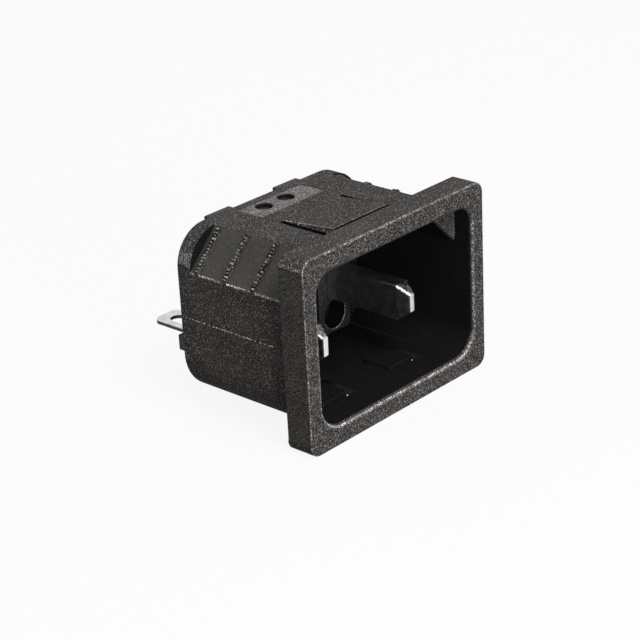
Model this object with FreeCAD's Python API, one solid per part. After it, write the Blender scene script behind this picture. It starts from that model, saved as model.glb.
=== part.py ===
"""Snap-in panel inlet with two blades and no earth, for a detachable mains cord.

Frame: the origin is the centre of the flange's rear face, which seats on the panel.
+X is to the right seen from the front, +Y runs into the equipment and +Z is up.
All sizes are in millimetres.
"""
import FreeCAD
import Part
import math
import os

V = FreeCAD.Vector

# Flange in front of the panel
FLANGE_WIDTH = 28.6
FLANGE_HEIGHT = 21.6
FLANGE_THICKNESS = 3.3
FLANGE_CORNER_RADIUS = 1.3
FLANGE_EDGE_RADIUS = 0.2
FLANGE_SIDE_LIP = 1.0
FLANGE_TOP_LIP = 1.3

# Socket that takes the cord connector
SOCKET_DEPTH = 16.6
SOCKET_UPPER_RADIUS = 2.0
SOCKET_LOWER_RADIUS = 2.8
MOUTH_EDGE_RADIUS = 0.5
KEY_LEG = 4.7
KEY_SETBACK = 2.3

# Body behind the panel
SIDE_WALL = 1.05
TOP_WALL = 1.0
BACK_WALL = 1.0
BODY_LENGTH = 15.7
BODY_UPPER_RADIUS = 4.2
BODY_LOWER_RADIUS = 5.0
BODY_EDGE_RADIUS = 0.25

# Sloping pockets along the two upper corners, each crossed by low ribs
POCKET_LEG = 4.15
POCKET_LENGTH = 13.7
RIB_COUNT = 3
RIB_WIDTH = 0.6
RIB_HEIGHT = 0.25
RIB_PITCH = 4.0
RIB_REAR_GAP = 0.65

# Snap tongues, cut free of the top and bottom walls by slits
PANEL_GAP = 1.4
SLIT = 0.75
UPPER_TONGUE_WIDTH = 8.6
UPPER_TONGUE_LENGTH = 7.1
UPPER_TONGUE_RISE = 0.65
LOWER_TONGUE_WIDTH = 3.7
LOWER_TONGUE_LENGTH = 4.1
LOWER_TONGUE_RISE = 0.7
LOWER_TONGUE_OFFSET = 5.4
LOWER_WINDOW_START = 0.6
TONGUE_NOSE = 0.1
TONGUE_ROOT_OVERLAP = 0.2

# Shallow plain recess on top, with two round dimples
RECESS_WIDTH = 10.0
RECESS_LENGTH = 3.7
RECESS_DEPTH = 0.12
RECESS_REAR_GAP = 1.1
DIMPLE_RADIUS = 0.95
DIMPLE_DEPTH = 0.45
DIMPLE_SPACING = 3.4
DIMPLE_SHIFT = -0.5
DIMPLE_REAR_GAP = 1.3

# Contacts
BLADE_SPACING = 14.0
BLADE_CENTRE_Z = -2.0
BLADE_HEIGHT = 4.0
BLADE_THICKNESS = 2.0
BLADE_TIP_DEPTH = 4.15
TIP_LENGTH = 1.4
TIP_HEIGHT = 2.2
TIP_THICKNESS = 0.85
STUB_LENGTH = 1.6
TAB_WIDTH = 3.6
TAB_THICKNESS = 0.4
TAB_LENGTH = 8.6
TAB_CORNER_RADIUS = 1.0
TAB_SLOT_WIDTH = 1.7
TAB_SLOT_LENGTH = 2.8
TAB_SLOT_END = 1.25

# Terminal carrier that closes the rear and holds the contacts
CARRIER_CLEARANCE = 0.1
CONTACT_CLEARANCE = 0.05
PAD_WIDTH = 5.2
PAD_TOP = 1.4
PAD_PROUD = 1.0
PAD_CORNER_RADIUS = 0.8
PAD_HOLE_WALL = 0.425
PAD_HOLE_DEPTH = 2.4
LEDGE_WIDTH = 4.9
LEDGE_HEIGHT = 1.8
LEDGE_LENGTH = 4.0
LUG_WIDTH = 3.75
LUG_HEIGHT = 2.2
LUG_LENGTH = 1.75
LUG_OFFSET = 5.3
LUG_OVERLAP = 0.4

# Places that follow from the sizes above
BODY_WIDTH = FLANGE_WIDTH - 2.0 * FLANGE_SIDE_LIP
BODY_HEIGHT = FLANGE_HEIGHT - 2.0 * FLANGE_TOP_LIP
SOCKET_WIDTH = BODY_WIDTH - 2.0 * SIDE_WALL
SOCKET_HEIGHT = BODY_HEIGHT - 2.0 * TOP_WALL
Y_FRONT = -FLANGE_THICKNESS
Y_SOCKET_END = SOCKET_DEPTH - FLANGE_THICKNESS
Y_SEAT = Y_SOCKET_END + BACK_WALL
Y_RIM = BODY_LENGTH
PASS = 1.0


def rounded_face(width, height, r_up, r_low, y, cx=0.0, cz=0.0):
    """Upright rectangle across the Y axis, with its own radius at the upper and lower corners."""
    x0 = cx - width / 2.0
    x1 = cx + width / 2.0
    z0 = cz - height / 2.0
    z1 = cz + height / 2.0
    corners = [
        (x0, z0, r_low, 1, 1),
        (x1, z0, r_low, -1, 1),
        (x1, z1, r_up, -1, -1),
        (x0, z1, r_up, 1, -1),
    ]
    ends = []
    arcs = []
    k = 1.0 - math.sqrt(0.5)
    for i, (x, z, r, sx, sz) in enumerate(corners):
        on_x = V(x + sx * r, y, z)
        on_z = V(x, y, z + sz * r)
        mid = V(x + sx * r * k, y, z + sz * r * k)
        first, last = (on_z, on_x) if i % 2 == 0 else (on_x, on_z)
        ends.append((first, last))
        arcs.append(Part.Arc(first, mid, last).toShape())
    edges = []
    for i in range(4):
        edges.append(arcs[i])
        start = ends[i][1]
        stop = ends[(i + 1) % 4][0]
        edges.append(Part.LineSegment(start, stop).toShape())
    return Part.Face(Part.Wire(edges))


def rounded_prism(width, height, r_up, r_low, y0, y1, cx=0.0, cz=0.0):
    """Rounded rectangle drawn out along Y."""
    face = rounded_face(width, height, r_up, r_low, y0, cx, cz)
    return face.extrude(V(0, y1 - y0, 0))


def block(x0, x1, y0, y1, z0, z1):
    """Plain block between two opposite corners."""
    return Part.makeBox(x1 - x0, y1 - y0, z1 - z0, V(x0, y0, z0))


def prism_along_y(points, y0, y1):
    """Polygon of (x, z) points drawn out along Y."""
    ring = [V(x, y0, z) for x, z in points]
    ring.append(ring[0])
    face = Part.Face(Part.makePolygon(ring))
    return face.extrude(V(0, y1 - y0, 0))


def prism_along_x(points, x0, x1):
    """Polygon of (y, z) points drawn out along X."""
    ring = [V(x0, y, z) for y, z in points]
    ring.append(ring[0])
    face = Part.Face(Part.makePolygon(ring))
    return face.extrude(V(x1 - x0, 0, 0))


def mirrored(shape):
    """The same form on the other side of the YZ plane."""
    return shape.mirror(V(0, 0, 0), V(1, 0, 0))


def rim_edges(shape, y, half_width):
    """Edges of one end face, as far as they reach out to a given half width."""
    found = []
    for edge in shape.Edges:
        box = edge.BoundBox
        if abs(box.YMin - y) > 1e-6 or abs(box.YMax - y) > 1e-6:
            continue
        found.append((max(abs(box.XMin), abs(box.XMax)), edge))
    return [edge for reach, edge in found if reach <= half_width + 1e-6]


def corner_wedge(half_width, half_height, leg, y0, y1, reach):
    """Triangle that fills an upper right corner down to a 45 degree plane."""
    x1 = half_width + reach
    z1 = half_height + reach
    cut = half_width + half_height - leg
    points = [(x1, cut - x1), (x1, z1), (cut - z1, z1)]
    return prism_along_y(points, y0, y1)


def tongue(width, length, rise, wall_in, wall_out, cx):
    """Ramp that grows from the wall at its root to a square locking end behind the panel."""
    tip = PANEL_GAP
    root = PANEL_GAP + length
    out = wall_out + math.copysign(rise, wall_out)
    points = [
        (root + TONGUE_ROOT_OVERLAP, wall_in),
        (tip, wall_in),
        (tip, out - math.copysign(TONGUE_NOSE, out)),
        (tip + TONGUE_NOSE, out),
        (root, wall_out),
        (root + TONGUE_ROOT_OVERLAP, wall_out),
    ]
    return prism_along_x(points, cx - width / 2.0, cx + width / 2.0)


def build_housing():
    """Flange, socket, body and snap tongues in one moulding."""
    flange = rounded_prism(FLANGE_WIDTH, FLANGE_HEIGHT, FLANGE_CORNER_RADIUS, FLANGE_CORNER_RADIUS,
                           Y_FRONT, 0.0)
    flange = flange.makeFillet(FLANGE_EDGE_RADIUS, rim_edges(flange, Y_FRONT, FLANGE_WIDTH))
    body = rounded_prism(BODY_WIDTH, BODY_HEIGHT, BODY_UPPER_RADIUS, BODY_LOWER_RADIUS,
                         Y_FRONT + FLANGE_THICKNESS / 2.0, Y_RIM)
    body = body.makeFillet(BODY_EDGE_RADIUS, rim_edges(body, Y_RIM, BODY_WIDTH))

    # Sloping pockets along the upper corners, with the ribs left standing in them
    pocket = corner_wedge(BODY_WIDTH / 2.0, BODY_HEIGHT / 2.0, POCKET_LEG, 0.0, POCKET_LENGTH, PASS)
    rib_leg = POCKET_LEG - RIB_HEIGHT * math.sqrt(2.0)
    for i in range(RIB_COUNT):
        y1 = POCKET_LENGTH - RIB_REAR_GAP - i * RIB_PITCH
        slab = block(0.0, BODY_WIDTH, y1 - RIB_WIDTH, y1, -BODY_HEIGHT, BODY_HEIGHT)
        above = corner_wedge(BODY_WIDTH / 2.0, BODY_HEIGHT / 2.0, rib_leg, 0.0, POCKET_LENGTH, PASS)
        pocket = pocket.cut(slab.cut(above))
    body = body.cut(pocket)
    body = body.cut(mirrored(pocket))
    shell = flange.fuse(body)

    # Socket from the front, with its angled upper corners set back from the mouth
    socket = rounded_prism(SOCKET_WIDTH, SOCKET_HEIGHT, SOCKET_UPPER_RADIUS, SOCKET_LOWER_RADIUS,
                           Y_FRONT, Y_SOCKET_END)
    key = corner_wedge(SOCKET_WIDTH / 2.0, SOCKET_HEIGHT / 2.0, KEY_LEG,
                       Y_FRONT + KEY_SETBACK, Y_SOCKET_END, PASS)
    socket = socket.cut(key)
    socket = socket.cut(mirrored(key))
    shell = shell.cut(socket)
    mouth = rim_edges(shell, Y_FRONT, SOCKET_WIDTH / 2.0)
    shell = shell.makeFillet(MOUTH_EDGE_RADIUS, mouth)

    # Rear pocket that seats the carrier, and the windows for its pads
    shell = shell.cut(rounded_prism(SOCKET_WIDTH, SOCKET_HEIGHT, BODY_UPPER_RADIUS - TOP_WALL,
                                    BODY_LOWER_RADIUS - TOP_WALL, Y_SEAT, Y_RIM + PASS))
    half = PAD_WIDTH / 2.0 + CARRIER_CLEARANCE
    floor = -SOCKET_HEIGHT / 2.0
    for side in (-1.0, 1.0):
        cx = side * BLADE_SPACING / 2.0
        window = block(cx - half, cx + half, Y_SOCKET_END, Y_SEAT, floor, PAD_TOP + CARRIER_CLEARANCE)
        shell = shell.cut(window)

    # Snap tongues
    roof_in = SOCKET_HEIGHT / 2.0
    roof_out = BODY_HEIGHT / 2.0
    reach = UPPER_TONGUE_WIDTH / 2.0 + SLIT
    shell = shell.cut(block(-reach, reach, 0.0, PANEL_GAP + UPPER_TONGUE_LENGTH, roof_in, roof_out + PASS))
    upper = tongue(UPPER_TONGUE_WIDTH, UPPER_TONGUE_LENGTH, UPPER_TONGUE_RISE, roof_in, roof_out, 0.0)
    shell = shell.fuse(upper)
    reach = LOWER_TONGUE_WIDTH / 2.0 + SLIT
    for side in (-1.0, 1.0):
        cx = side * LOWER_TONGUE_OFFSET
        shell = shell.cut(block(cx - reach, cx + reach, LOWER_WINDOW_START,
                                PANEL_GAP + LOWER_TONGUE_LENGTH, -roof_out - PASS, -roof_in))
        lower = tongue(LOWER_TONGUE_WIDTH, LOWER_TONGUE_LENGTH, LOWER_TONGUE_RISE, -roof_in, -roof_out, cx)
        shell = shell.fuse(lower)

    # Recess on top, with its dimples
    y1 = Y_RIM - RECESS_REAR_GAP
    y0 = y1 - RECESS_LENGTH
    sunk = roof_out - RECESS_DEPTH
    shell = shell.cut(block(-RECESS_WIDTH / 2.0, RECESS_WIDTH / 2.0, y0, y1, sunk, roof_out + PASS))
    for side in (-0.5, 0.5):
        foot = V(DIMPLE_SHIFT + side * DIMPLE_SPACING, y1 - DIMPLE_REAR_GAP, sunk - DIMPLE_DEPTH)
        shell = shell.cut(Part.makeCylinder(DIMPLE_RADIUS, DIMPLE_DEPTH + PASS, foot))
    return shell.removeSplitter()


def tab_middle():
    """Distance of a solder tab's middle from the centre plane: its inner edge is the blade's inner face."""
    return BLADE_SPACING / 2.0 - BLADE_THICKNESS / 2.0 + TAB_WIDTH / 2.0


def tab_top():
    """A solder tab's upper face is level with the blade's lower edge."""
    return BLADE_CENTRE_Z - BLADE_HEIGHT / 2.0


def build_carrier():
    """Rear plate with a pad and a slot for each blade, a ledge for each tab and lugs on the rim."""
    gap = CARRIER_CLEARANCE
    plate = rounded_prism(SOCKET_WIDTH - 2.0 * gap, SOCKET_HEIGHT - 2.0 * gap,
                          BODY_UPPER_RADIUS - TOP_WALL - gap, BODY_LOWER_RADIUS - TOP_WALL - gap,
                          Y_SEAT, Y_RIM)
    low = gap - SOCKET_HEIGHT / 2.0
    ledge_top = tab_top() - TAB_THICKNESS
    lug_top = SOCKET_HEIGHT / 2.0 + LUG_OVERLAP
    y_pad = Y_SOCKET_END - PAD_PROUD
    half_thick = BLADE_THICKNESS / 2.0 + CONTACT_CLEARANCE
    half_high = BLADE_HEIGHT / 2.0 + CONTACT_CLEARANCE
    for side in (-1.0, 1.0):
        cx = side * BLADE_SPACING / 2.0
        pad = rounded_prism(PAD_WIDTH, PAD_TOP - low, PAD_CORNER_RADIUS, PAD_CORNER_RADIUS,
                            y_pad, Y_SEAT + gap, cx, (PAD_TOP + low) / 2.0)
        plate = plate.fuse(pad)
        mid = side * tab_middle()
        ledge = block(mid - LEDGE_WIDTH / 2.0, mid + LEDGE_WIDTH / 2.0, Y_RIM - gap, Y_RIM + LEDGE_LENGTH,
                      ledge_top - LEDGE_HEIGHT, ledge_top)
        plate = plate.fuse(ledge)
        lx = side * LUG_OFFSET
        lug = block(lx - LUG_WIDTH / 2.0, lx + LUG_WIDTH / 2.0, Y_RIM, Y_RIM + LUG_LENGTH,
                    lug_top - LUG_HEIGHT, lug_top)
        plate = plate.fuse(lug)
    for side in (-1.0, 1.0):
        cx = side * BLADE_SPACING / 2.0
        slot = block(cx - half_thick, cx + half_thick, y_pad - PASS, Y_RIM + PASS,
                     BLADE_CENTRE_Z - half_high, BLADE_CENTRE_Z + half_high)
        plate = plate.cut(slot)
        hole_z = (BLADE_CENTRE_Z - half_high + low) / 2.0
        hole_r = (BLADE_CENTRE_Z - half_high - low) / 2.0 - PAD_HOLE_WALL
        hole = Part.makeCylinder(hole_r, PAD_HOLE_DEPTH + PASS, V(cx, y_pad - PASS, hole_z), V(0, 1, 0))
        plate = plate.cut(hole)
    return plate.removeSplitter()


def rectangle_wire(cx, cz, width, height, y):
    """Upright rectangle across the Y axis."""
    x0 = cx - width / 2.0
    x1 = cx + width / 2.0
    z0 = cz - height / 2.0
    z1 = cz + height / 2.0
    return Part.makePolygon([V(x0, y, z0), V(x1, y, z0), V(x1, y, z1), V(x0, y, z1), V(x0, y, z0)])


def build_contact():
    """Right-hand contact: tapered blade, stub behind the carrier and solder tab bent outwards."""
    cx = BLADE_SPACING / 2.0
    y_tip = BLADE_TIP_DEPTH - FLANGE_THICKNESS
    y_full = y_tip + TIP_LENGTH
    nose = Part.makeLoft([
        rectangle_wire(cx, BLADE_CENTRE_Z, TIP_THICKNESS, TIP_HEIGHT, y_tip),
        rectangle_wire(cx, BLADE_CENTRE_Z, BLADE_THICKNESS, BLADE_HEIGHT, y_full),
    ], True, True)
    x0 = cx - BLADE_THICKNESS / 2.0
    x1 = cx + BLADE_THICKNESS / 2.0
    top = BLADE_CENTRE_Z + BLADE_HEIGHT / 2.0
    low = BLADE_CENTRE_Z - BLADE_HEIGHT / 2.0
    blade = block(x0, x1, y_full, Y_RIM + STUB_LENGTH, low, top)
    root = block(x0, x1, Y_RIM, Y_RIM + STUB_LENGTH, tab_top() - TAB_THICKNESS, top)

    # Tab with rounded outer corners and a slot for the wire
    mid = tab_middle()
    half = TAB_WIDTH / 2.0
    y_end = Y_RIM + TAB_LENGTH
    tab = block(mid - half, mid + half, Y_RIM, y_end, tab_top() - TAB_THICKNESS, tab_top())
    ends = []
    for edge in tab.Edges:
        box = edge.BoundBox
        if box.ZLength > TAB_THICKNESS / 2.0 and box.YMin > y_end - 1e-6:
            ends.append(edge)
    tab = tab.makeFillet(TAB_CORNER_RADIUS, ends)
    r = TAB_SLOT_WIDTH / 2.0
    far = y_end - TAB_SLOT_END - r
    near = y_end - TAB_SLOT_END - TAB_SLOT_LENGTH + r
    base = tab_top() - TAB_THICKNESS - PASS
    high = TAB_THICKNESS + 2.0 * PASS
    slot = block(mid - r, mid + r, near, far, base, base + high)
    slot = slot.fuse(Part.makeCylinder(r, high, V(mid, far, base)))
    slot = slot.fuse(Part.makeCylinder(r, high, V(mid, near, base)))
    tab = tab.cut(slot)
    return nose.fuse([blade, root, tab]).removeSplitter()


def main():
    os.makedirs("parts", exist_ok=True)
    contact = build_contact()
    nodes = {
        "housing": build_housing(),
        "terminal_carrier": build_carrier(),
        "line_contact": contact,
        "neutral_contact": mirrored(contact),
    }
    for name, shape in nodes.items():
        solids = shape.Solids
        print(name, len(solids), "solid", shape.isValid(), round(shape.Volume, 2), "mm3")
        solids[0].exportStep("parts/%s.step" % name)


main()
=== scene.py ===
"""Looks of a snap-in panel inlet with two blades: moulded black nylon and nickel plated contacts."""
import bpy
import bmesh
import math
import random
from collections import namedtuple
from mathutils import Matrix, Vector


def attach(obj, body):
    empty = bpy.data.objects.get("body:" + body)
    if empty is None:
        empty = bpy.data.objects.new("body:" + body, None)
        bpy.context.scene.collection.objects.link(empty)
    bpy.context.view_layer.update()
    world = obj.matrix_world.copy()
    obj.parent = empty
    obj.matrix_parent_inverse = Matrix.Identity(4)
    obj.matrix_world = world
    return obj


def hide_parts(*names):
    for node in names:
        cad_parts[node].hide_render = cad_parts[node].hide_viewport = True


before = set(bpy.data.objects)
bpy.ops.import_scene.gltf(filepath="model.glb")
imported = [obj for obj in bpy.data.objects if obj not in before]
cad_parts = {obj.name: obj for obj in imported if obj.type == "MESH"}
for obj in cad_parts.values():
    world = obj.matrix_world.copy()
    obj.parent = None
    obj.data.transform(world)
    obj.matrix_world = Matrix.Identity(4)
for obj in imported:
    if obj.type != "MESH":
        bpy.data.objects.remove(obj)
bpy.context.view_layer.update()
scene = bpy.context.scene
MM = 0.001

# Places on the part, in millimetres in its own frame
FLANGE_FRONT = -3.3
MOUTH_LIP = 0.5
LIP_END = FLANGE_FRONT + MOUTH_LIP
KEY_FRONT = -1.0
SOCKET_HALF_WIDTH = 12.25
SOCKET_HALF_HEIGHT = 8.5
SOCKET_END = 13.3
BODY_HALF_WIDTH = 13.3
BODY_HALF_HEIGHT = 9.5
BODY_END = 15.7
POCKET_LEG = 4.15
POCKET_END = 13.7
RIB_HEIGHT = 0.25
RIB_WIDTH = 0.6
RIB_PITCH = 4.0
RIB_REAR_GAP = 0.65
RECESS_FLOOR = 9.38
RECESS_HALF_WIDTH = 5.0
RECESS_FRONT = 10.9
RECESS_BACK = 14.6
SLIT_HALF_WIDTH = 8.0
SLIT_END = 8.5
# Height of the cut in the tongues' flanks, below which they take painted shade
FLANK_SPLIT = 9.4
TONGUE_FRONT = 1.4
TONGUE_NOSE = 0.1
TONGUE_PROUD = 0.2
TONGUE_RUB_END = SLIT_END - 2.0
UPPER_TONGUE_HALF_WIDTH = 4.3
BLADE_X = 7.0
NOSE_END = 2.25
NOSE_SLOPE_LEAST = 0.5
PAD_HOLE_Z = -6.225
PAD_HOLE_RADIUS = 1.75
PAD_HOLE_RIM = 0.2
FLOOR_Z = -10.8

# Sideways and upward distance of a pocket's floor and of its ribs' tops, added up, which is the same all over
POCKET_LEVEL = BODY_HALF_WIDTH + BODY_HALF_HEIGHT - POCKET_LEG
RIB_LEVEL = POCKET_LEVEL + RIB_HEIGHT * math.sqrt(2.0)

# Two places count as one when they are this near, and a rounded edge may stray from its corner by the margin
NEAR = 0.01
MARGIN = 0.1

# Shares of a face's normal along an axis, by which it is told which way the face looks
STRAIGHT = 0.99
FACING = 0.9
SLOPING = 0.65
INWARD = -0.5
UPRIGHT = 0.1
# The normal times the place off the middle axis, in millimetres: under this a face looks at the axis
TOWARDS_AXIS = -0.5

# Widths of the roundings in millimetres: the bevel has the widest, and takes the others as shares of it
SOFT_EDGE = 0.6
NOSE_CORNER_SOFTNESS = 0.30
NOSE_SOFTNESS = 0.16
HOUSING_EDGE = 0.12
DIMPLE_SOFTNESS = 0.12
CARRIER_EDGE = 0.10
CONTACT_EDGE = 0.08
TONGUE_SOFTNESS = 0.05
ROUNDING_STEPS = 4
# A face needs this many widths to take a rounding on both sides
LEAST_ROOM = 2.2

# How a solid's faces are joined up and its edges told apart: distances in millimetres, angles in degrees
MERGE_DISTANCE = 0.002
CUT_DISTANCE = 0.001
FLAT_ANGLE = 0.6
CRISP_ANGLE = 25.0
MOULDED_SHARP = 40.0
STAMPED_SHARP = 20.0
FLAT_FACE_WEIGHT = 90


def to_linear(hex_colour):
    """sRGB hex to the linear colour that a shader takes."""
    out = []
    for i in (1, 3, 5):
        c = int(hex_colour[i:i + 2], 16) / 255.0
        out.append(c / 12.92 if c <= 0.04045 else ((c + 0.055) / 1.055) ** 2.4)
    return (*out, 1.0)


def add(tree, kind, inputs=None, **settings):
    """Adds a node, sets its settings and fills its inputs with values or with other nodes' outputs."""
    node = tree.nodes.new(kind)
    for name, value in settings.items():
        setattr(node, name, value)
    for socket, value in (inputs or {}).items():
        if isinstance(value, bpy.types.NodeSocket):
            tree.links.new(value, node.inputs[socket])
        else:
            node.inputs[socket].default_value = value
    return node


def empty_material(name):
    """A material with nothing in its tree."""
    material = bpy.data.materials.new(name)
    material.use_nodes = True
    material.node_tree.nodes.clear()
    return material, material.node_tree


# Most of a noise's values lie between these two
NOISE_LOW = 0.3
NOISE_HIGH = 0.7
# Make-up of the moulded grain: pits and specks measured in grains, the drift in millimetres
PIT_SIZE = 1.3
PIT_SHARE = -0.55
DRIFT_SIZE = 3.5
DRIFT_SHARE = 0.12
DARK_LEVEL = 0.42
MID_LEVEL = 0.57
PALE_LEVEL = 0.78
SPECK_SIZE = 1.5
SPECK_ABOVE = 0.83
SPECK_CORE = 0.20
SPECK_RIM = 0.45
GRAIN_POLISH = 0.08


def moulded_nylon(name, dark, mid, pale, salt, grain_mm, depth_mm, roughness, shine):
    """Black nylon out of a spark-eroded mould.

    The grain's low places stay dark and its flanks are grey, and about one point in six is pale,
    partly a high point polished pale and partly a painted glint for the light such facets catch, so a
    face reads as fine pepper with a little salt. A slow drift in tone keeps large faces from looking
    printed. The real grit is about 0.05 mm, half a pixel in the reference view, so the grain is drawn
    two or three times as coarse to show at all.
    """
    material, tree = empty_material(name)
    place = add(tree, "ShaderNodeTexCoord").outputs["Object"]
    grit = add(tree, "ShaderNodeTexNoise",
               {"Vector": place, "Scale": 1.0 / (grain_mm * MM), "Detail": 1.0, "Roughness": 0.6})
    pits = add(tree, "ShaderNodeTexVoronoi",
               {"Vector": place, "Scale": 1.0 / (PIT_SIZE * grain_mm * MM)}, feature="SMOOTH_F1")
    drift = add(tree, "ShaderNodeTexNoise",
                {"Vector": place, "Scale": 1.0 / (DRIFT_SIZE * MM), "Detail": 3.0})
    height = add(tree, "ShaderNodeMath",
                 {0: pits.outputs["Distance"], 1: PIT_SHARE, 2: grit.outputs["Fac"]},
                 operation="MULTIPLY_ADD")
    tone = add(tree, "ShaderNodeMath",
               {0: drift.outputs["Fac"], 1: DRIFT_SHARE, 2: grit.outputs["Fac"]},
               operation="MULTIPLY_ADD")
    ramp = add(tree, "ShaderNodeValToRGB", {"Fac": tone.outputs[0]})
    steps = ramp.color_ramp.elements
    steps[0].position = DARK_LEVEL
    steps[0].color = to_linear(dark)
    steps[1].position = PALE_LEVEL
    steps[1].color = to_linear(pale)
    middle = steps.new(MID_LEVEL)
    middle.color = to_linear(mid)
    # Pale specks: partly polished high points, partly painted glints
    peaks = add(tree, "ShaderNodeTexVoronoi",
                {"Vector": place, "Scale": 1.0 / (SPECK_SIZE * grain_mm * MM)})
    lot = add(tree, "ShaderNodeSeparateColor", {"Color": peaks.outputs["Color"]})
    chosen = add(tree, "ShaderNodeMath", {0: lot.outputs["Red"], 1: SPECK_ABOVE}, operation="GREATER_THAN")
    near = add(tree, "ShaderNodeMapRange",
               {"Value": peaks.outputs["Distance"], "From Min": SPECK_CORE, "From Max": SPECK_RIM,
                "To Min": 1.0, "To Max": 0.0})
    speck = add(tree, "ShaderNodeMath", {0: chosen.outputs[0], 1: near.outputs["Result"]},
                operation="MULTIPLY")
    colour = add(tree, "ShaderNodeMix",
                 {"Factor": speck.outputs[0], "A": ramp.outputs["Color"], "B": to_linear(salt)},
                 data_type="RGBA")
    rough = add(tree, "ShaderNodeMapRange",
                {"Value": grit.outputs["Fac"], "From Min": NOISE_LOW, "From Max": NOISE_HIGH,
                 "To Min": roughness + GRAIN_POLISH, "To Max": roughness - GRAIN_POLISH})
    bump = add(tree, "ShaderNodeBump",
               {"Height": height.outputs[0], "Strength": 1.0, "Distance": depth_mm * MM})
    shader = add(tree, "ShaderNodeBsdfPrincipled",
                 {"Base Color": colour.outputs["Result"], "Roughness": rough.outputs["Result"],
                  "Specular IOR Level": shine, "Normal": bump.outputs["Normal"]})
    add(tree, "ShaderNodeOutputMaterial", {"Surface": shader.outputs["BSDF"]})
    return material


# Outside of the housing: coarse spark-eroded grain, grey pepper and salt over black
GRAINED = moulded_nylon("spark_eroded_black_nylon", "#2b2929", "#464342", "#84817f", "#b3afad",
                        grain_mm=0.12, depth_mm=0.022, roughness=0.66, shine=0.01)
# Edges rubbed by handling, and painted highlight on rounded edges: a little coarser, with its high points
# polished pale
RUBBED_AND_HIGHLIT = moulded_nylon("rubbed_edge_painted_highlight_nylon", "#2e2c2b", "#545150", "#c4c0bd", "#e4e0dd",
                       grain_mm=0.15, depth_mm=0.022, roughness=0.45, shine=0.20)
# Edges that the mould or the plug has scraped, and painted highlight: white specks close together
SCUFFED_AND_HIGHLIT = moulded_nylon("scuffed_edge_painted_highlight_nylon", "#4a4746", "#8c8886", "#f2efec", "#ffffff",
                        grain_mm=0.18, depth_mm=0.022, roughness=0.50, shine=0.25)
# Flash on the parting line: bent back and forth when it was trimmed, so it has gone white
FLASH_WHITE = moulded_nylon("stress_whitened_black_nylon", "#7a7674", "#b8b4b1", "#f5f2ef", "#ffffff",
                            grain_mm=0.18, depth_mm=0.010, roughness=0.50, shine=0.20)
# Inside of the socket: drawn off a polished core, and made near black as painted shade; the same dark also
# paints shade into the slits, the tongues' locking faces, the pockets' ribs and rear walls, dimple walls and
# blind holes
SMOOTH_CORE_PAINTED_SHADE = moulded_nylon("polished_core_painted_shade_nylon", "#1a1a1a", "#1d1d1d", "#222222", "#242424",
                            grain_mm=0.20, depth_mm=0.002, roughness=0.42, shine=0.06)
# Pocket floors: an even, dull machined insert with no grain to speak of
POCKET_DULL = moulded_nylon("dull_insert_black_nylon", "#494846", "#4d4c49", "#545350", "#5a5956",
                            grain_mm=0.30, depth_mm=0.004, roughness=0.62, shine=0.12)
# Recess on top: the same insert finish, paler and specked with light rubbing
RECESS_PALE = moulded_nylon("rubbed_insert_black_nylon", "#575352", "#706c6b", "#9c9896", "#b8b3b0",
                            grain_mm=0.22, depth_mm=0.015, roughness=0.55, shine=0.15)
# Rear carrier, and smoother places on the housing: fine grain, darker and with a little more shine;
# across the rims and the dimples it is a step of painted shade
FINE_GRAIN_AND_SHADE = moulded_nylon("fine_grain_painted_shade_nylon", "#1d1c1c", "#2a2929", "#464544", "#5a5857",
                           grain_mm=0.12, depth_mm=0.012, roughness=0.50, shine=0.20)

# How strongly the marks on the strip show
MARK_STRENGTH = 0.6


def nickel_plate(name, dull, bright, patch_mm, roughness, spread, grain_mm, depth_mm, stretch):
    """Nickel over brass strip, neutral grey-white, with marks drawn out along the strip and dull patches."""
    material, tree = empty_material(name)
    place = add(tree, "ShaderNodeTexCoord").outputs["Object"]
    along = add(tree, "ShaderNodeMapping", {"Vector": place, "Scale": (1.0, 1.0 / stretch, 1.0)})
    marks = add(tree, "ShaderNodeTexNoise",
                {"Vector": along.outputs["Vector"], "Scale": 1.0 / (grain_mm * MM), "Detail": 2.0})
    haze = add(tree, "ShaderNodeTexNoise", {"Vector": place, "Scale": 1.0 / (patch_mm * MM), "Detail": 4.0})
    colour = add(tree, "ShaderNodeValToRGB", {"Fac": haze.outputs["Fac"]})
    steps = colour.color_ramp.elements
    steps[0].position = NOISE_LOW
    steps[0].color = to_linear(dull)
    steps[1].position = NOISE_HIGH
    steps[1].color = to_linear(bright)
    rough = add(tree, "ShaderNodeMapRange",
                {"Value": haze.outputs["Fac"], "From Min": NOISE_LOW, "From Max": NOISE_HIGH,
                 "To Min": roughness - spread, "To Max": roughness + spread})
    bump = add(tree, "ShaderNodeBump",
               {"Height": marks.outputs["Fac"], "Strength": MARK_STRENGTH, "Distance": depth_mm * MM})
    shader = add(tree, "ShaderNodeBsdfPrincipled",
                 {"Base Color": colour.outputs["Color"], "Metallic": 1.0,
                  "Roughness": rough.outputs["Result"], "Normal": bump.outputs["Normal"]})
    add(tree, "ShaderNodeOutputMaterial", {"Surface": shader.outputs["BSDF"]})
    return material


# Rolled faces of the blades: plating over fine roll marks, so they blur the dark socket into a soft grey
ROLLED_NICKEL = nickel_plate("bright_nickel_on_rolled_brass", "#d2d1d0", "#f0efee", patch_mm=0.90,
                             roughness=0.30, spread=0.02, grain_mm=0.14, depth_mm=0.002, stretch=12.0)
# Ends of the blades: burnished by plugs, so they glare
BURNISHED_NICKEL = nickel_plate("burnished_nickel_on_blade_end", "#e2e1e0", "#ffffff", patch_mm=0.90,
                                roughness=0.32, spread=0.05, grain_mm=0.20, depth_mm=0.010, stretch=1.5)
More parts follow.
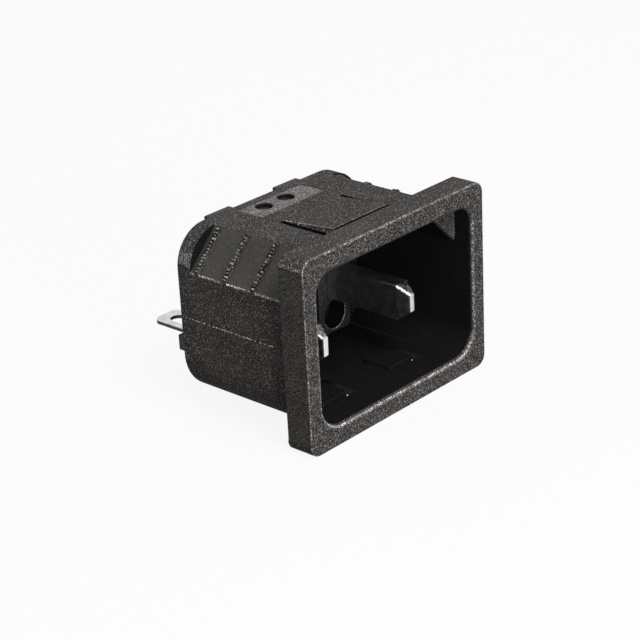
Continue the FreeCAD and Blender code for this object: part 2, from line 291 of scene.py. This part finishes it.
# Sloping faces above and below the ends: the plating lies over a pressed and pitted surface and sparkles
COINED_NICKEL = nickel_plate("bright_nickel_on_coined_brass", "#706f6e", "#ffffff", patch_mm=0.30,
                             roughness=0.34, spread=0.10, grain_mm=0.16, depth_mm=0.050, stretch=1.5)
# Tabs: satin plating, a shade duller
SATIN_NICKEL = nickel_plate("satin_nickel_on_brass", "#bdbcba", "#dddcda", patch_mm=0.90,
                            roughness=0.30, spread=0.06, grain_mm=0.16, depth_mm=0.006, stretch=6.0)
# Sheared sides of the strip and of the nose: a torn edge under thin plating, coloured near black as a
# painted reflection of the dark socket, dark beside the bright faces
SHEARED_NICKEL_PAINTED_DARK = nickel_plate("sheared_brass_painted_dark_nickel", "#333231", "#525150", patch_mm=0.90,
                              roughness=0.48, spread=0.08, grain_mm=0.12, depth_mm=0.020, stretch=1.0)


def plain_mesh(obj):
    """Turns an object with modifiers into one with the finished mesh and none."""
    bpy.context.view_layer.update()
    done = obj.evaluated_get(bpy.context.evaluated_depsgraph_get())
    mesh = bpy.data.meshes.new_from_object(done)
    obj.modifiers.clear()
    obj.data = mesh
    mesh.name = obj.name


def in_millimetres(verts):
    """Places of a face's or an edge's corners."""
    return [vert.co / MM for vert in verts]


def cut_flanks(bm, split):
    """Cuts the faces that split picks just inside the body's top and bottom."""
    flanks = [face for face in bm.faces if split(in_millimetres(face.verts), face.normal)]
    around = {v for face in flanks for v in face.verts} | {e for face in flanks for e in face.edges}
    for level in (-FLANK_SPLIT, FLANK_SPLIT):
        near = [g for g in flanks + list(around) if g.is_valid]
        bmesh.ops.bisect_plane(bm, geom=near, dist=CUT_DISTANCE * MM,
                               plane_co=(0.0, 0.0, level * MM), plane_no=(0.0, 0.0, 1.0))


def rounded_copy(name, node, materials, finish, worn, edge_mm, sharp_degrees, split=None, soft=None):
    """Stands for a solid: its faces are joined up, given their finishes and its outer edges rounded off.

    Faces too narrow to take the rounding on both sides keep their crisp edges, and so do inner
    corners. Faces that split picks are cut, so that they can take one finish beyond the cut and one
    below it. Edges for which soft gives a width are rounded by that many millimetres instead.
    """
    bm = bmesh.new()
    bm.from_mesh(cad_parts[node].data)
    bmesh.ops.remove_doubles(bm, verts=bm.verts, dist=MERGE_DISTANCE * MM)
    bmesh.ops.dissolve_limit(bm, angle_limit=math.radians(FLAT_ANGLE), verts=bm.verts, edges=bm.edges)
    if split is not None:
        cut_flanks(bm, split)
    bm.normal_update()
    narrow = set()
    for face in bm.faces:
        face.material_index = materials.index(finish(in_millimetres(face.verts), face.normal))
        face.smooth = True
        width = face.calc_area() / max(edge.calc_length() for edge in face.edges)
        if width < LEAST_ROOM * edge_mm * MM:
            narrow.add(face)
    weight = bm.edges.layers.float.new("bevel_weight_edge")
    for edge in bm.edges:
        if not edge.is_manifold:
            continue
        angle = edge.calc_face_angle()
        width = 0.0
        if edge.is_convex and angle > math.radians(sharp_degrees):
            if soft is not None:
                width = soft(in_millimetres(edge.verts))
            if width == 0.0 and not narrow.intersection(edge.link_faces):
                width = edge_mm
        edge[weight] = width / SOFT_EDGE
        if width == 0.0 and angle > math.radians(CRISP_ANGLE):
            edge.smooth = False
    mesh = bpy.data.meshes.new(name)
    bm.to_mesh(mesh)
    bm.free()
    # One more slot at the end marks the rounded edges until worn has given each its finish
    marker = len(materials)
    for material in materials + materials[:1]:
        mesh.materials.append(material)
    obj = bpy.data.objects.new(name, mesh)
    scene.collection.objects.link(obj)
    bevel = obj.modifiers.new("edges", "BEVEL")
    bevel.limit_method = "WEIGHT"
    bevel.width = SOFT_EDGE * MM
    bevel.segments = ROUNDING_STEPS
    bevel.use_clamp_overlap = False
    bevel.loop_slide = False
    bevel.material = marker
    flat = obj.modifiers.new("flat_faces", "WEIGHTED_NORMAL")
    flat.weight = FLAT_FACE_WEIGHT
    flat.keep_sharp = True
    plain_mesh(obj)
    for face in obj.data.polygons:
        if face.material_index == marker:
            face.material_index = materials.index(worn(face.center / MM, face.normal))
    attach(obj, "root")
    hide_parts(node)
    return obj


# How far a face reaches: sideways, up or down, to the front and to the back
Reach = namedtuple("Reach", "x z front back")


def reach_of(corners):
    """Reach of the face with these corners."""
    depths = [c.y for c in corners]
    return Reach(max(abs(c.x) for c in corners), max(abs(c.z) for c in corners), min(depths), max(depths))


def turned(normal):
    """How far a face is turned away from the front, in degrees."""
    return math.degrees(math.acos(max(-1.0, min(1.0, -normal.y))))


# Finishes across rounded rims, each up to so many degrees of turning away from the front: painted
# highlight where a rim leaves the front and painted shade as it turns in, over some real rubbing
LOWER_LIP = ((23.0, RUBBED_AND_HIGHLIT), (53.0, SCUFFED_AND_HIGHLIT), (78.5, GRAINED), (180.0, FINE_GRAIN_AND_SHADE))
SIDE_LIP = ((45.6, RUBBED_AND_HIGHLIT), (66.4, FINE_GRAIN_AND_SHADE), (180.0, SMOOTH_CORE_PAINTED_SHADE))
UPPER_LIP = ((45.6, GRAINED), (66.4, FINE_GRAIN_AND_SHADE), (180.0, SMOOTH_CORE_PAINTED_SHADE))
FLANGE_SIDE_EDGE = ((23.0, GRAINED), (67.7, RUBBED_AND_HIGHLIT), (180.0, GRAINED))
FLANGE_LEVEL_EDGE = ((14.0, GRAINED), (180.0, RUBBED_AND_HIGHLIT))
KEY_EDGE = ((36.9, GRAINED), (66.4, FINE_GRAIN_AND_SHADE), (180.0, SMOOTH_CORE_PAINTED_SHADE))
TONGUE_EDGE = ((72.5, SMOOTH_CORE_PAINTED_SHADE), (180.0, SCUFFED_AND_HIGHLIT))
# The front face itself is turned by less than this
FRONT_TURN = 10.0
# Upward share of the normal over which a lip's face belongs to the lower lip, or else to the sides
LOWER_LIP_RISE = 0.2
SIDE_LIP_RISE = -0.15
# Sideways share of the normal where the upper corners turn into the sides, and how far in they begin;
# a band of painted highlight over some rubbing runs there
CORNER_TURN = (0.89, 0.99)
CORNER_REACH = 1.0
# How far a pocket's faces may stray from their level, how high its rear wall rises, how near its foot is
LEVEL_MARGIN = 0.05
REAR_WALL_RISE = 0.5
FOOT_MARGIN = 0.4
# Upward share of the normal over which the rim of a dimple is pale, and under which it takes painted shade
DIMPLE_RIM_RISE = 0.85
# The tongues' sides begin this far behind the flange
TONGUE_SIDES_FROM = 0.5
# Sideways share of an edge that runs at a slant
SLANT = (0.5, 0.85)


def rim_finish(bands, normal):
    """The finish that a rim's bands give a face, painted highlight near the front and painted shade further
    in.
    """
    turn = turned(normal)
    return next(material for limit, material in bands if turn <= limit)


def in_socket(place):
    """Whether a place on a rounded edge lies in the socket, behind its lip."""
    wide = abs(place.x) < SOCKET_HALF_WIDTH + MARGIN
    high = abs(place.z) < SOCKET_HALF_HEIGHT + MARGIN
    return wide and high and LIP_END - NEAR < place.y < SOCKET_END + MARGIN


def front_rim_finish(reach, normal):
    """The flange's edge, or the mouth's lip: painted highlight over some rubbing as it leaves the front face,
    and painted shade as it turns in.
    """
    wide = reach.x < SOCKET_HALF_WIDTH + MOUTH_LIP + NEAR
    high = reach.z < SOCKET_HALF_HEIGHT + MOUTH_LIP + NEAR
    if not (wide and high):
        sideways = abs(normal.x) > abs(normal.z)
        return rim_finish(FLANGE_SIDE_EDGE if sideways else FLANGE_LEVEL_EDGE, normal)
    if normal.z > LOWER_LIP_RISE:
        return rim_finish(LOWER_LIP, normal)
    return rim_finish(SIDE_LIP if normal.z > SIDE_LIP_RISE else UPPER_LIP, normal)


def pocket_finish(corners, reach, normal):
    """Sloping pockets: dull floors, and painted shade on the ribs and on the upper rear wall."""
    level = max(abs(c.x) + c.z for c in corners)
    inside = reach.front > -NEAR and reach.back < POCKET_END + NEAR
    if inside and normal.z > SLOPING and abs(normal.x) > SLOPING:
        if level < POCKET_LEVEL + LEVEL_MARGIN:
            return POCKET_DULL
        # Ribs: painted shade
        if level < RIB_LEVEL + LEVEL_MARGIN:
            return SMOOTH_CORE_PAINTED_SHADE
    # Upper rear wall, behind the flange: painted shade
    rear = abs(reach.front - POCKET_END) < NEAR and reach.back - reach.front < NEAR
    return SMOOTH_CORE_PAINTED_SHADE if rear and level > POCKET_LEVEL + REAR_WALL_RISE else None


def slit_finish(corners, reach, normal):
    """Slits round the tongues: painted shade down their walls and on the locking faces, and painted highlight
    over some rubbing on the upper tongue's proud flanks.
    """
    # The tongues' locking faces, which lie in the flange's shadow: painted shade
    if reach.front > TONGUE_FRONT - NEAR and reach.back < TONGUE_FRONT + TONGUE_NOSE + NEAR:
        return SMOOTH_CORE_PAINTED_SHADE
    along = reach.front > -NEAR and reach.back < SLIT_END + NEAR and reach.x < SLIT_HALF_WIDTH + NEAR
    in_wall = min(abs(c.z) for c in corners) > SOCKET_HALF_HEIGHT - NEAR
    if not (along and in_wall and abs(normal.z) < UPRIGHT):
        return None
    # Slit walls below the body's top and faces looking forward: painted shade; the upper tongue's proud outer
    # flanks: painted highlight
    if reach.z < BODY_HALF_HEIGHT + NEAR or normal.y < -FACING:
        return SMOOTH_CORE_PAINTED_SHADE
    return RUBBED_AND_HIGHLIT if normal.x * corners[0].x > 0.0 and corners[0].z > 0.0 else GRAINED


def recess_finish(corners, reach, normal):
    """Recess on top, rubbed pale, and its two dimples with darker fine-grained floors and walls in painted
    shade.
    """
    inside = reach.x < RECESS_HALF_WIDTH + NEAR and reach.front > RECESS_FRONT - NEAR
    if not (inside and reach.back < RECESS_BACK + NEAR):
        return None
    low = min(c.z for c in corners)
    level = normal.z > FACING
    if level and abs(low - RECESS_FLOOR) < NEAR:
        return RECESS_PALE
    # Dimples: darker fine-grained floors, and walls in painted shade
    if SOCKET_HALF_HEIGHT + MARGIN < low < RECESS_FLOOR - NEAR:
        return FINE_GRAIN_AND_SHADE if level else SMOOTH_CORE_PAINTED_SHADE
    return None


def housing_finish(corners, normal):
    """Finish of a face of the housing."""
    reach = reach_of(corners)
    if normal.y < -FACING and abs(reach.front - KEY_FRONT) < NEAR:
        return GRAINED
    if reach.back < LIP_END + NEAR and turned(normal) > FRONT_TURN:
        return front_rim_finish(reach, normal)
    # Faces inside the socket that look inward: near black, the smooth core with painted shade
    inside = reach.x < SOCKET_HALF_WIDTH + NEAR and reach.z < SOCKET_HALF_HEIGHT + NEAR
    off_axis = normal.x * corners[0].x + normal.z * corners[0].z
    inward = normal.y < INWARD or off_axis < TOWARDS_AXIS
    if inside and inward and reach.front > LIP_END - NEAR:
        return SMOOTH_CORE_PAINTED_SHADE
    # A band of painted highlight, over some rubbing, where the body's upper corners turn into the sides
    turning = CORNER_TURN[0] < abs(normal.x) < CORNER_TURN[1] and normal.z > UPRIGHT
    if turning and reach.x > BODY_HALF_WIDTH - CORNER_REACH:
        return RUBBED_AND_HIGHLIT
    for rule in (pocket_finish, slit_finish, recess_finish):
        found = rule(corners, reach, normal)
        if found is not None:
            return found
    return GRAINED


def housing_wear(centre, normal):
    """Finish of a rounded edge of the housing.

    Pale along the pockets' lower edges and the upper tongue's sides, rubbing with painted highlight, and
    dark with painted shade at the tongue's locking end, deep in the socket and where the dimples' rims turn
    down.
    """
    across = abs(centre.x) < RECESS_HALF_WIDTH - MARGIN
    along = RECESS_FRONT + MARGIN < centre.y < RECESS_BACK - MARGIN
    # Dimple rims: pale where they face up, painted shade where they turn down
    if across and along and SOCKET_HALF_HEIGHT + MARGIN < centre.z < RECESS_FLOOR + NEAR:
        return RECESS_PALE if normal.z > DIMPLE_RIM_RISE else FINE_GRAIN_AND_SHADE
    # Deep in the socket, and turning in off the corner blocks' fronts: painted shade
    if in_socket(centre):
        return SMOOTH_CORE_PAINTED_SHADE if centre.y > KEY_FRONT + SOFT_EDGE else rim_finish(KEY_EDGE, normal)
    pocket_foot = BODY_HALF_HEIGHT - POCKET_LEG
    # Pockets' lower edges: scuffing with painted highlight
    if abs(centre.x) > BODY_HALF_WIDTH - FOOT_MARGIN and abs(centre.z - pocket_foot) < FOOT_MARGIN:
        return SCUFFED_AND_HIGHLIT
    # Upper tongue's rounded edges: painted shade at the locking end, painted highlight over scuffing along
    # the sides
    on_tongue = centre.z > BODY_HALF_HEIGHT and abs(centre.x) < UPPER_TONGUE_HALF_WIDTH + NEAR
    if on_tongue and TONGUE_FRONT - NEAR < centre.y < TONGUE_RUB_END:
        return rim_finish(TONGUE_EDGE, normal)
    return GRAINED


def housing_softness(ends):
    """Width of the rounding on the socket's corner blocks, the dimples' rims, the tongues and their slits."""
    across = (ends[0] - ends[1]).normalized()
    if all(abs(c.y - KEY_FRONT) < NEAR for c in ends) and SLANT[0] < abs(across.x) < SLANT[1]:
        return SOFT_EDGE
    if all(abs(c.z - RECESS_FLOOR) < NEAR for c in ends):
        if all(abs(c.x) < RECESS_HALF_WIDTH - MARGIN and c.y < RECESS_BACK - MARGIN for c in ends):
            return DIMPLE_SOFTNESS
    if all(-NEAR < c.y < SLIT_END + NEAR and abs(c.x) < SLIT_HALF_WIDTH + NEAR for c in ends):
        if all(abs(c.z) > SOCKET_HALF_HEIGHT - NEAR for c in ends):
            return TONGUE_SOFTNESS
    return 0.0


def tongue_flank(corners, normal):
    """The upright sides of the three tongues, which stand partly proud of the body, and are cut so that
    painted shade goes below the cut.
    """
    proud = max(abs(c.z) for c in corners) > BODY_HALF_HEIGHT + TONGUE_PROUD
    return abs(normal.x) > STRAIGHT and proud and min(c.y for c in corners) > TONGUE_SIDES_FROM


housing = rounded_copy("housing_shell", "housing",
                       [GRAINED, RUBBED_AND_HIGHLIT, SMOOTH_CORE_PAINTED_SHADE, POCKET_DULL, RECESS_PALE, FINE_GRAIN_AND_SHADE, SCUFFED_AND_HIGHLIT],
                       housing_finish, housing_wear, HOUSING_EDGE, MOULDED_SHARP,
                       tongue_flank, housing_softness)


def off_pad_hole(place):
    """Distance from the axis of the nearer blind hole."""
    return math.hypot(abs(place.x) - BLADE_X, place.z - PAD_HOLE_Z)


def carrier_finish(corners, normal):
    """Fine grain all over, and smooth black down the two blind holes as painted shade."""
    inside = max(off_pad_hole(c) for c in corners) < PAD_HOLE_RADIUS + NEAR
    return SMOOTH_CORE_PAINTED_SHADE if inside else FINE_GRAIN_AND_SHADE


def carrier_wear(centre, normal):
    """Finish of a rounded edge of the carrier: pale round the mouths of the two blind holes, rubbing and
    painted highlight.
    """
    on_mouth = centre.y < SOCKET_END and abs(off_pad_hole(centre) - PAD_HOLE_RADIUS) < PAD_HOLE_RIM
    return RUBBED_AND_HIGHLIT if on_mouth else FINE_GRAIN_AND_SHADE


carrier = rounded_copy("terminal_carrier_block", "terminal_carrier", [FINE_GRAIN_AND_SHADE, RUBBED_AND_HIGHLIT, SMOOTH_CORE_PAINTED_SHADE],
                       carrier_finish, carrier_wear, CARRIER_EDGE, MOULDED_SHARP)

# A blade's end is turned away from the front by less than this, and so is the bright part of its rim
BLADE_END_TURN = 18.2
BLADE_RIM_TURN = 21.6
# Upward share of the normal over which a tab's face is satin and the nose's edge pitted
TAB_FACE_RISE = 0.7
NOSE_EDGE_RISE = 0.25
# Sideways share of the normal under which a nose's face slopes up or down, and how far its rounding reaches
NOSE_SLOPE_TURN = 0.8
NOSE_ROUNDING = 0.15


def contact_finish(corners, normal):
    """Finish of a contact's face: satin tab, burnished end, coined nose, sheared sides in a painted dark
    reflection, rolled blade.
    """
    reach = reach_of(corners)
    if reach.front > BODY_END - NEAR:
        return SATIN_NICKEL if abs(normal.z) > TAB_FACE_RISE else SHEARED_NICKEL_PAINTED_DARK
    if reach.back >= NOSE_END + NEAR:
        return ROLLED_NICKEL
    if turned(normal) < BLADE_END_TURN:
        return BURNISHED_NICKEL
    return COINED_NICKEL if abs(normal.x) < NOSE_SLOPE_TURN else SHEARED_NICKEL_PAINTED_DARK


def contact_wear(centre, normal):
    """Finish of a contact's rounded edge: bright where the nose faces forward, pitted where it turns up,
    painted dark where it turns sideways.
    """
    if centre.y > BODY_END:
        return SHEARED_NICKEL_PAINTED_DARK
    if centre.y > NOSE_END + NOSE_ROUNDING:
        return ROLLED_NICKEL
    if turned(normal) < BLADE_RIM_TURN:
        return BURNISHED_NICKEL
    return COINED_NICKEL if normal.z > NOSE_EDGE_RISE else SHEARED_NICKEL_PAINTED_DARK


def contact_softness(ends):
    """Width of the rounding on the edges of the blade's nose, which plugs have worn."""
    near, far = sorted(c.y for c in ends)
    if near > NOSE_END - NOSE_SLOPE_LEAST or far > NOSE_END + NEAR:
        return 0.0
    return NOSE_CORNER_SOFTNESS if far - near > NOSE_SLOPE_LEAST else NOSE_SOFTNESS


for side in ("line", "neutral"):
    contact = rounded_copy(side + "_contact_strip", side + "_contact",
                           [ROLLED_NICKEL, COINED_NICKEL, SATIN_NICKEL, SHEARED_NICKEL_PAINTED_DARK, BURNISHED_NICKEL],
                           contact_finish, contact_wear, CONTACT_EDGE, STAMPED_SHARP,
                           soft=contact_softness)

# Grip teeth on the ribs, in millimetres: sizes across the rib's slope, along the part and off the rib
TOOTH_ROWS = 3
TEETH = 14
TOOTH_PITCH = 0.38
TOOTH_SMALLEST = (0.16, 0.30, 0.14)
TOOTH_LARGEST = (0.36, 0.60, 0.28)
TOOTH_SCATTER = (0.05, 0.10, 0.0)
TOOTH_CREASE = 0.55
TOOTH_SMOOTHINGS = 2
SIZE_SEED_STEP = 7.0
ROW_DROP = 0.085
# The pockets slope by this angle in degrees, and each has its side and its seed
POCKET_SLOPE = 45.0
POCKET_SIDES = ((-1.0, 3), (1.0, 11))


def grip_tooth_tree():
    """Rows of small rounded teeth along the low ribs of a sloping pocket."""
    tree = bpy.data.node_groups.new("grip_tooth_rows", "GeometryNodeTree")
    wanted = [
        ("Rows", "NodeSocketInt"), ("Row Pitch", "NodeSocketFloat"), ("Teeth", "NodeSocketInt"),
        ("Tooth Pitch", "NodeSocketFloat"), ("Tooth Smallest", "NodeSocketVector"),
        ("Tooth Largest", "NodeSocketVector"), ("Scatter", "NodeSocketVector"), ("Seed", "NodeSocketInt"),
        ("Turn", "NodeSocketVector"), ("Place", "NodeSocketVector"), ("Finish", "NodeSocketMaterial"),
    ]
    for label, kind in wanted:
        tree.interface.new_socket(label, in_out="INPUT", socket_type=kind)
    tree.interface.new_socket("Geometry", in_out="OUTPUT", socket_type="NodeSocketGeometry")
    given = add(tree, "NodeGroupInput").outputs
    last = add(tree, "ShaderNodeMath", {0: given["Teeth"], 1: 1.0}, operation="SUBTRACT")
    length = add(tree, "ShaderNodeMath", {0: last.outputs[0], 1: given["Tooth Pitch"]}, operation="MULTIPLY")
    half = add(tree, "ShaderNodeMath", {0: length.outputs[0], 1: -0.5}, operation="MULTIPLY")
    start = add(tree, "ShaderNodeCombineXYZ", {"X": half.outputs[0]})
    step = add(tree, "ShaderNodeCombineXYZ", {"X": given["Tooth Pitch"]})
    back = add(tree, "ShaderNodeMath", {0: given["Row Pitch"], 1: -1.0}, operation="MULTIPLY")
    row_step = add(tree, "ShaderNodeCombineXYZ", {"Y": back.outputs[0]})
    row = add(tree, "GeometryNodeMeshLine",
              {"Count": given["Teeth"], "Start Location": start.outputs[0], "Offset": step.outputs[0]})
    rows = add(tree, "GeometryNodeMeshLine", {"Count": given["Rows"], "Offset": row_step.outputs[0]})
    grid = add(tree, "GeometryNodeInstanceOnPoints",
               {"Points": rows.outputs["Mesh"], "Instance": row.outputs["Mesh"]})
    points = add(tree, "GeometryNodeRealizeInstances", {"Geometry": grid.outputs["Instances"]})
    less = add(tree, "ShaderNodeVectorMath", {0: given["Scatter"], "Scale": -1.0}, operation="SCALE")
    jitter = add(tree, "FunctionNodeRandomValue",
                 {0: less.outputs[0], 1: given["Scatter"], "Seed": given["Seed"]}, data_type="FLOAT_VECTOR")
    moved = add(tree, "GeometryNodeSetPosition",
                {"Geometry": points.outputs["Geometry"], "Offset": jitter.outputs["Value"]})
    other = add(tree, "ShaderNodeMath", {0: given["Seed"], 1: SIZE_SEED_STEP}, operation="ADD")
    sizes = add(tree, "FunctionNodeRandomValue",
                {0: given["Tooth Smallest"], 1: given["Tooth Largest"], "Seed": other.outputs[0]},
                data_type="FLOAT_VECTOR")
    block = add(tree, "GeometryNodeMeshCube", {"Size": (1.0, 1.0, 1.0)})
    rounded = add(tree, "GeometryNodeSubdivisionSurface",
                  {"Mesh": block.outputs["Mesh"], "Level": TOOTH_SMOOTHINGS, "Edge Crease": TOOTH_CREASE})
    soft = add(tree, "GeometryNodeSetShadeSmooth", {"Geometry": rounded.outputs["Mesh"]})
    strewn = add(tree, "GeometryNodeInstanceOnPoints",
                 {"Points": moved.outputs["Geometry"], "Instance": soft.outputs["Geometry"],
                  "Scale": sizes.outputs["Value"]})
    laid = add(tree, "GeometryNodeTransform",
               {"Geometry": strewn.outputs["Instances"], "Rotation": given["Turn"],
                "Translation": given["Place"]})
    solid = add(tree, "GeometryNodeRealizeInstances", {"Geometry": laid.outputs["Geometry"]})
    painted = add(tree, "GeometryNodeSetMaterial",
                  {"Geometry": solid.outputs["Geometry"], "Material": given["Finish"]})
    add(tree, "NodeGroupOutput", {"Geometry": painted.outputs["Geometry"]})
    return tree


def metres(sizes_mm):
    """Sizes in millimetres as a tuple in metres."""
    return tuple(size * MM for size in sizes_mm)


def housing_trim(name, bm, material):
    """Makes a mesh that belongs to the housing a piece of its own."""
    # Faces out of the node tree are numbered for a second slot, and the piece has one
    for face in bm.faces:
        face.material_index = 0
    mesh = bpy.data.meshes.new(name)
    bm.to_mesh(mesh)
    bm.free()
    mesh.materials.append(material)
    obj = bpy.data.objects.new(name, mesh)
    scene.collection.objects.link(obj)
    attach(obj, "root")


def grip_rows():
    """One mesh with the grip teeth of both pockets."""
    tree = grip_tooth_tree()
    keys = {item.name: item.identifier for item in tree.interface.items_tree if item.in_out == "INPUT"}
    mid_x = BODY_HALF_WIDTH - POCKET_LEG / 2.0 + RIB_HEIGHT * math.sqrt(0.5) + ROW_DROP
    first = POCKET_END - RIB_REAR_GAP - RIB_WIDTH / 2.0
    whole = bmesh.new()
    for side, seed in POCKET_SIDES:
        holder = bpy.data.objects.new("grip_rows_side", bpy.data.meshes.new("grip_rows_side"))
        scene.collection.objects.link(holder)
        rows = holder.modifiers.new("rows", "NODES")
        rows.node_group = tree
        values = {
            "Rows": TOOTH_ROWS, "Row Pitch": RIB_PITCH * MM, "Teeth": TEETH, "Tooth Pitch": TOOTH_PITCH * MM,
            "Tooth Smallest": metres(TOOTH_SMALLEST), "Tooth Largest": metres(TOOTH_LARGEST),
            "Scatter": metres(TOOTH_SCATTER), "Seed": seed,
            "Turn": (0.0, side * math.radians(POCKET_SLOPE), 0.0),
            "Place": metres((side * mid_x, first, RIB_LEVEL - mid_x)), "Finish": RUBBED_AND_HIGHLIT,
        }
        for label, value in values.items():
            rows[keys[label]] = value
        plain_mesh(holder)
        whole.from_mesh(holder.data)
        bpy.data.objects.remove(holder)
    housing_trim("pocket_grip_rows", whole, RUBBED_AND_HIGHLIT)


grip_rows()

# Flash on the parting line, in millimetres: where it runs, and the sizes of its ridges and gaps
FLASH_START = 2.2
FLASH_END = 15.4
FLASH_LENGTHS = (0.22, 0.30, 0.80, 1.40)
FLASH_HALF_WIDTHS = (0.05, 0.12)
FLASH_GAPS = (0.04, 0.45)
FLASH_HEIGHT = 0.05
FLASH_SINK = 0.02
FLASH_RAMP = 0.1
FLASH_ROOM = 0.25
FLASH_SEED = 5


def parting_lines():
    """Flash along each flank where the two mould halves met: a broken line of short pale ridges and knots."""
    bm = bmesh.new()
    draw = random.Random(FLASH_SEED)
    for side in (-1.0, 1.0):
        face_x = side * BODY_HALF_WIDTH
        foot_x = face_x - side * FLASH_SINK
        y = FLASH_START
        while y < FLASH_END - FLASH_ROOM:
            length = min(draw.choice(FLASH_LENGTHS), FLASH_END - y)
            half = draw.uniform(*FLASH_HALF_WIDTHS)
            profile = ((0.0, 0.0), (FLASH_RAMP, FLASH_HEIGHT),
                       (length - FLASH_RAMP, FLASH_HEIGHT), (length, 0.0))
            rings = []
            for at, tall in profile:
                ring = [(foot_x, y + at, -half), (face_x + side * tall, y + at, 0.0), (foot_x, y + at, half)]
                rings.append([bm.verts.new(Vector(p) * MM) for p in ring])
            for a, b in zip(rings, rings[1:]):
                for i in range(3):
                    j = (i + 1) % 3
                    bm.faces.new((a[i], a[j], b[j], b[i]))
            bm.faces.new(rings[0])
            bm.faces.new(rings[-1])
            y += length + draw.uniform(*FLASH_GAPS)
    bmesh.ops.recalc_face_normals(bm, faces=bm.faces)
    housing_trim("parting_lines", bm, FLASH_WHITE)


parting_lines()

# Levels of floor and room, as sources of light and as they are seen, and the floor's half size in metres
FLOOR_AS_LIGHT = 0.06
FLOOR_SEEN = 0.90
FLOOR_GLOW = 0.90
ROOM_AS_LIGHT = 0.42
ROOM_SEEN = 1.0
FLOOR_HALF_SIZE = 3.0
WHITE = (1.0, 1.0, 1.0, 1.0)


def seen_directly(tree):
    """1 for what is seen, straight, mirrored or through glass, and 0 for light that falls on things."""
    path = add(tree, "ShaderNodeLightPath").outputs
    two = add(tree, "ShaderNodeMath", {0: path["Is Camera Ray"], 1: path["Is Glossy Ray"]},
              operation="MAXIMUM")
    return add(tree, "ShaderNodeMath", {0: two.outputs[0], 1: path["Is Transmission Ray"]},
               operation="MAXIMUM").outputs[0]


def white_room():
    """Pale floor under the part and a white room around it.

    What the camera sees of the floor is white with the part's shadow on it. As a light source the
    floor is nearly a black card, so that the undersides stay dark.
    """
    material, tree = empty_material("pale_floor_card")
    seen = seen_directly(tree)
    tone = add(tree, "ShaderNodeMapRange", {"Value": seen, "To Min": FLOOR_AS_LIGHT, "To Max": FLOOR_SEEN})
    card = add(tree, "ShaderNodeBsdfDiffuse", {"Color": tone.outputs["Result"]})
    glow = add(tree, "ShaderNodeEmission", {"Color": WHITE, "Strength": 1.0})
    share = add(tree, "ShaderNodeMath", {0: seen, 1: FLOOR_GLOW}, operation="MULTIPLY")
    mixed = add(tree, "ShaderNodeMixShader", {0: share.outputs[0], 1: card.outputs[0], 2: glow.outputs[0]})
    add(tree, "ShaderNodeOutputMaterial", {"Surface": mixed.outputs[0]})
    corners = [(x * FLOOR_HALF_SIZE, y * FLOOR_HALF_SIZE, FLOOR_Z * MM)
               for x, y in ((-1, -1), (1, -1), (1, 1), (-1, 1))]
    mesh = bpy.data.meshes.new("floor")
    mesh.from_pydata(corners, [], [(0, 1, 2, 3)])
    mesh.materials.append(material)
    floor = bpy.data.objects.new("floor", mesh)
    scene.collection.objects.link(floor)
    world = bpy.data.worlds.new("white_room")
    world.use_nodes = True
    tree = world.node_tree
    tree.nodes.clear()
    level = add(tree, "ShaderNodeMapRange",
                {"Value": seen_directly(tree), "To Min": ROOM_AS_LIGHT, "To Max": ROOM_SEEN})
    sky = add(tree, "ShaderNodeBackground", {"Color": WHITE, "Strength": level.outputs["Result"]})
    add(tree, "ShaderNodeOutputWorld", {"Surface": sky.outputs[0]})
    scene.world = world


white_room()

# Middle of the part, which the lamps look at, and how far away they stand, in millimetres
PART_MIDDLE = (0.0, 5.0, 0.0)
LAMP_DISTANCE = 400.0


def soft_lamp(name, towards, size_mm, watts):
    """Square soft box in a direction from the middle of the part, looking back at it."""
    data = bpy.data.lights.new(name, "AREA")
    data.shape = "SQUARE"
    data.size = size_mm * MM
    data.energy = watts
    lamp = bpy.data.objects.new(name, data)
    out = Vector(towards).normalized()
    lamp.location = Vector(PART_MIDDLE) * MM + out * LAMP_DISTANCE * MM
    lamp.rotation_euler = (-out).to_track_quat("-Z", "Y").to_euler()
    scene.collection.objects.link(lamp)


# Key from above and in front, and a smaller fill that looks straight into the socket
soft_lamp("key_overhead", (-0.10, -0.55, 0.83), size_mm=160.0, watts=0.68)
soft_lamp("fill_in_front", (-0.30, -0.94, 0.17), size_mm=120.0, watts=0.76)

# Reference view: angles in degrees, place in millimetres, focal length in pixels of a square frame
VIEW_TURN = -46.81330
VIEW_RISE = 24.03514
VIEW_ROLL = -3.03848
VIEW_PLACE = (-139.4555, -122.8166, 81.934)
FOCAL_PIXELS = 1935.0859
FRAME_PIXELS = 640.0
SENSOR_WIDTH = 36.0
CLIP_START = 0.01
CLIP_END = 20.0


def photo_camera():
    """Camera at the reference view: left of the front, from above, with a slight roll."""
    az, el, roll = math.radians(VIEW_TURN), math.radians(VIEW_RISE), math.radians(VIEW_ROLL)
    back = Vector((math.sin(az) * math.cos(el), -math.cos(az) * math.cos(el), math.sin(el)))
    ahead = -back
    right = ahead.cross(Vector((0.0, 0.0, 1.0))).normalized()
    up = right.cross(ahead)
    c, s = math.cos(roll), math.sin(roll)
    right, up = right * c + up * s, up * c - right * s
    turn = Matrix((right, up, back)).transposed()
    data = bpy.data.cameras.new("photo_camera")
    data.sensor_width = SENSOR_WIDTH
    data.sensor_fit = "HORIZONTAL"
    data.lens = SENSOR_WIDTH * FOCAL_PIXELS / FRAME_PIXELS
    data.clip_start = CLIP_START
    data.clip_end = CLIP_END
    camera = bpy.data.objects.new("photo_camera", data)
    camera.matrix_world = Matrix.Translation(Vector(VIEW_PLACE) * MM) @ turn.to_4x4()
    scene.collection.objects.link(camera)
    scene.camera = camera


photo_camera()
scene.view_settings.view_transform = "Standard"
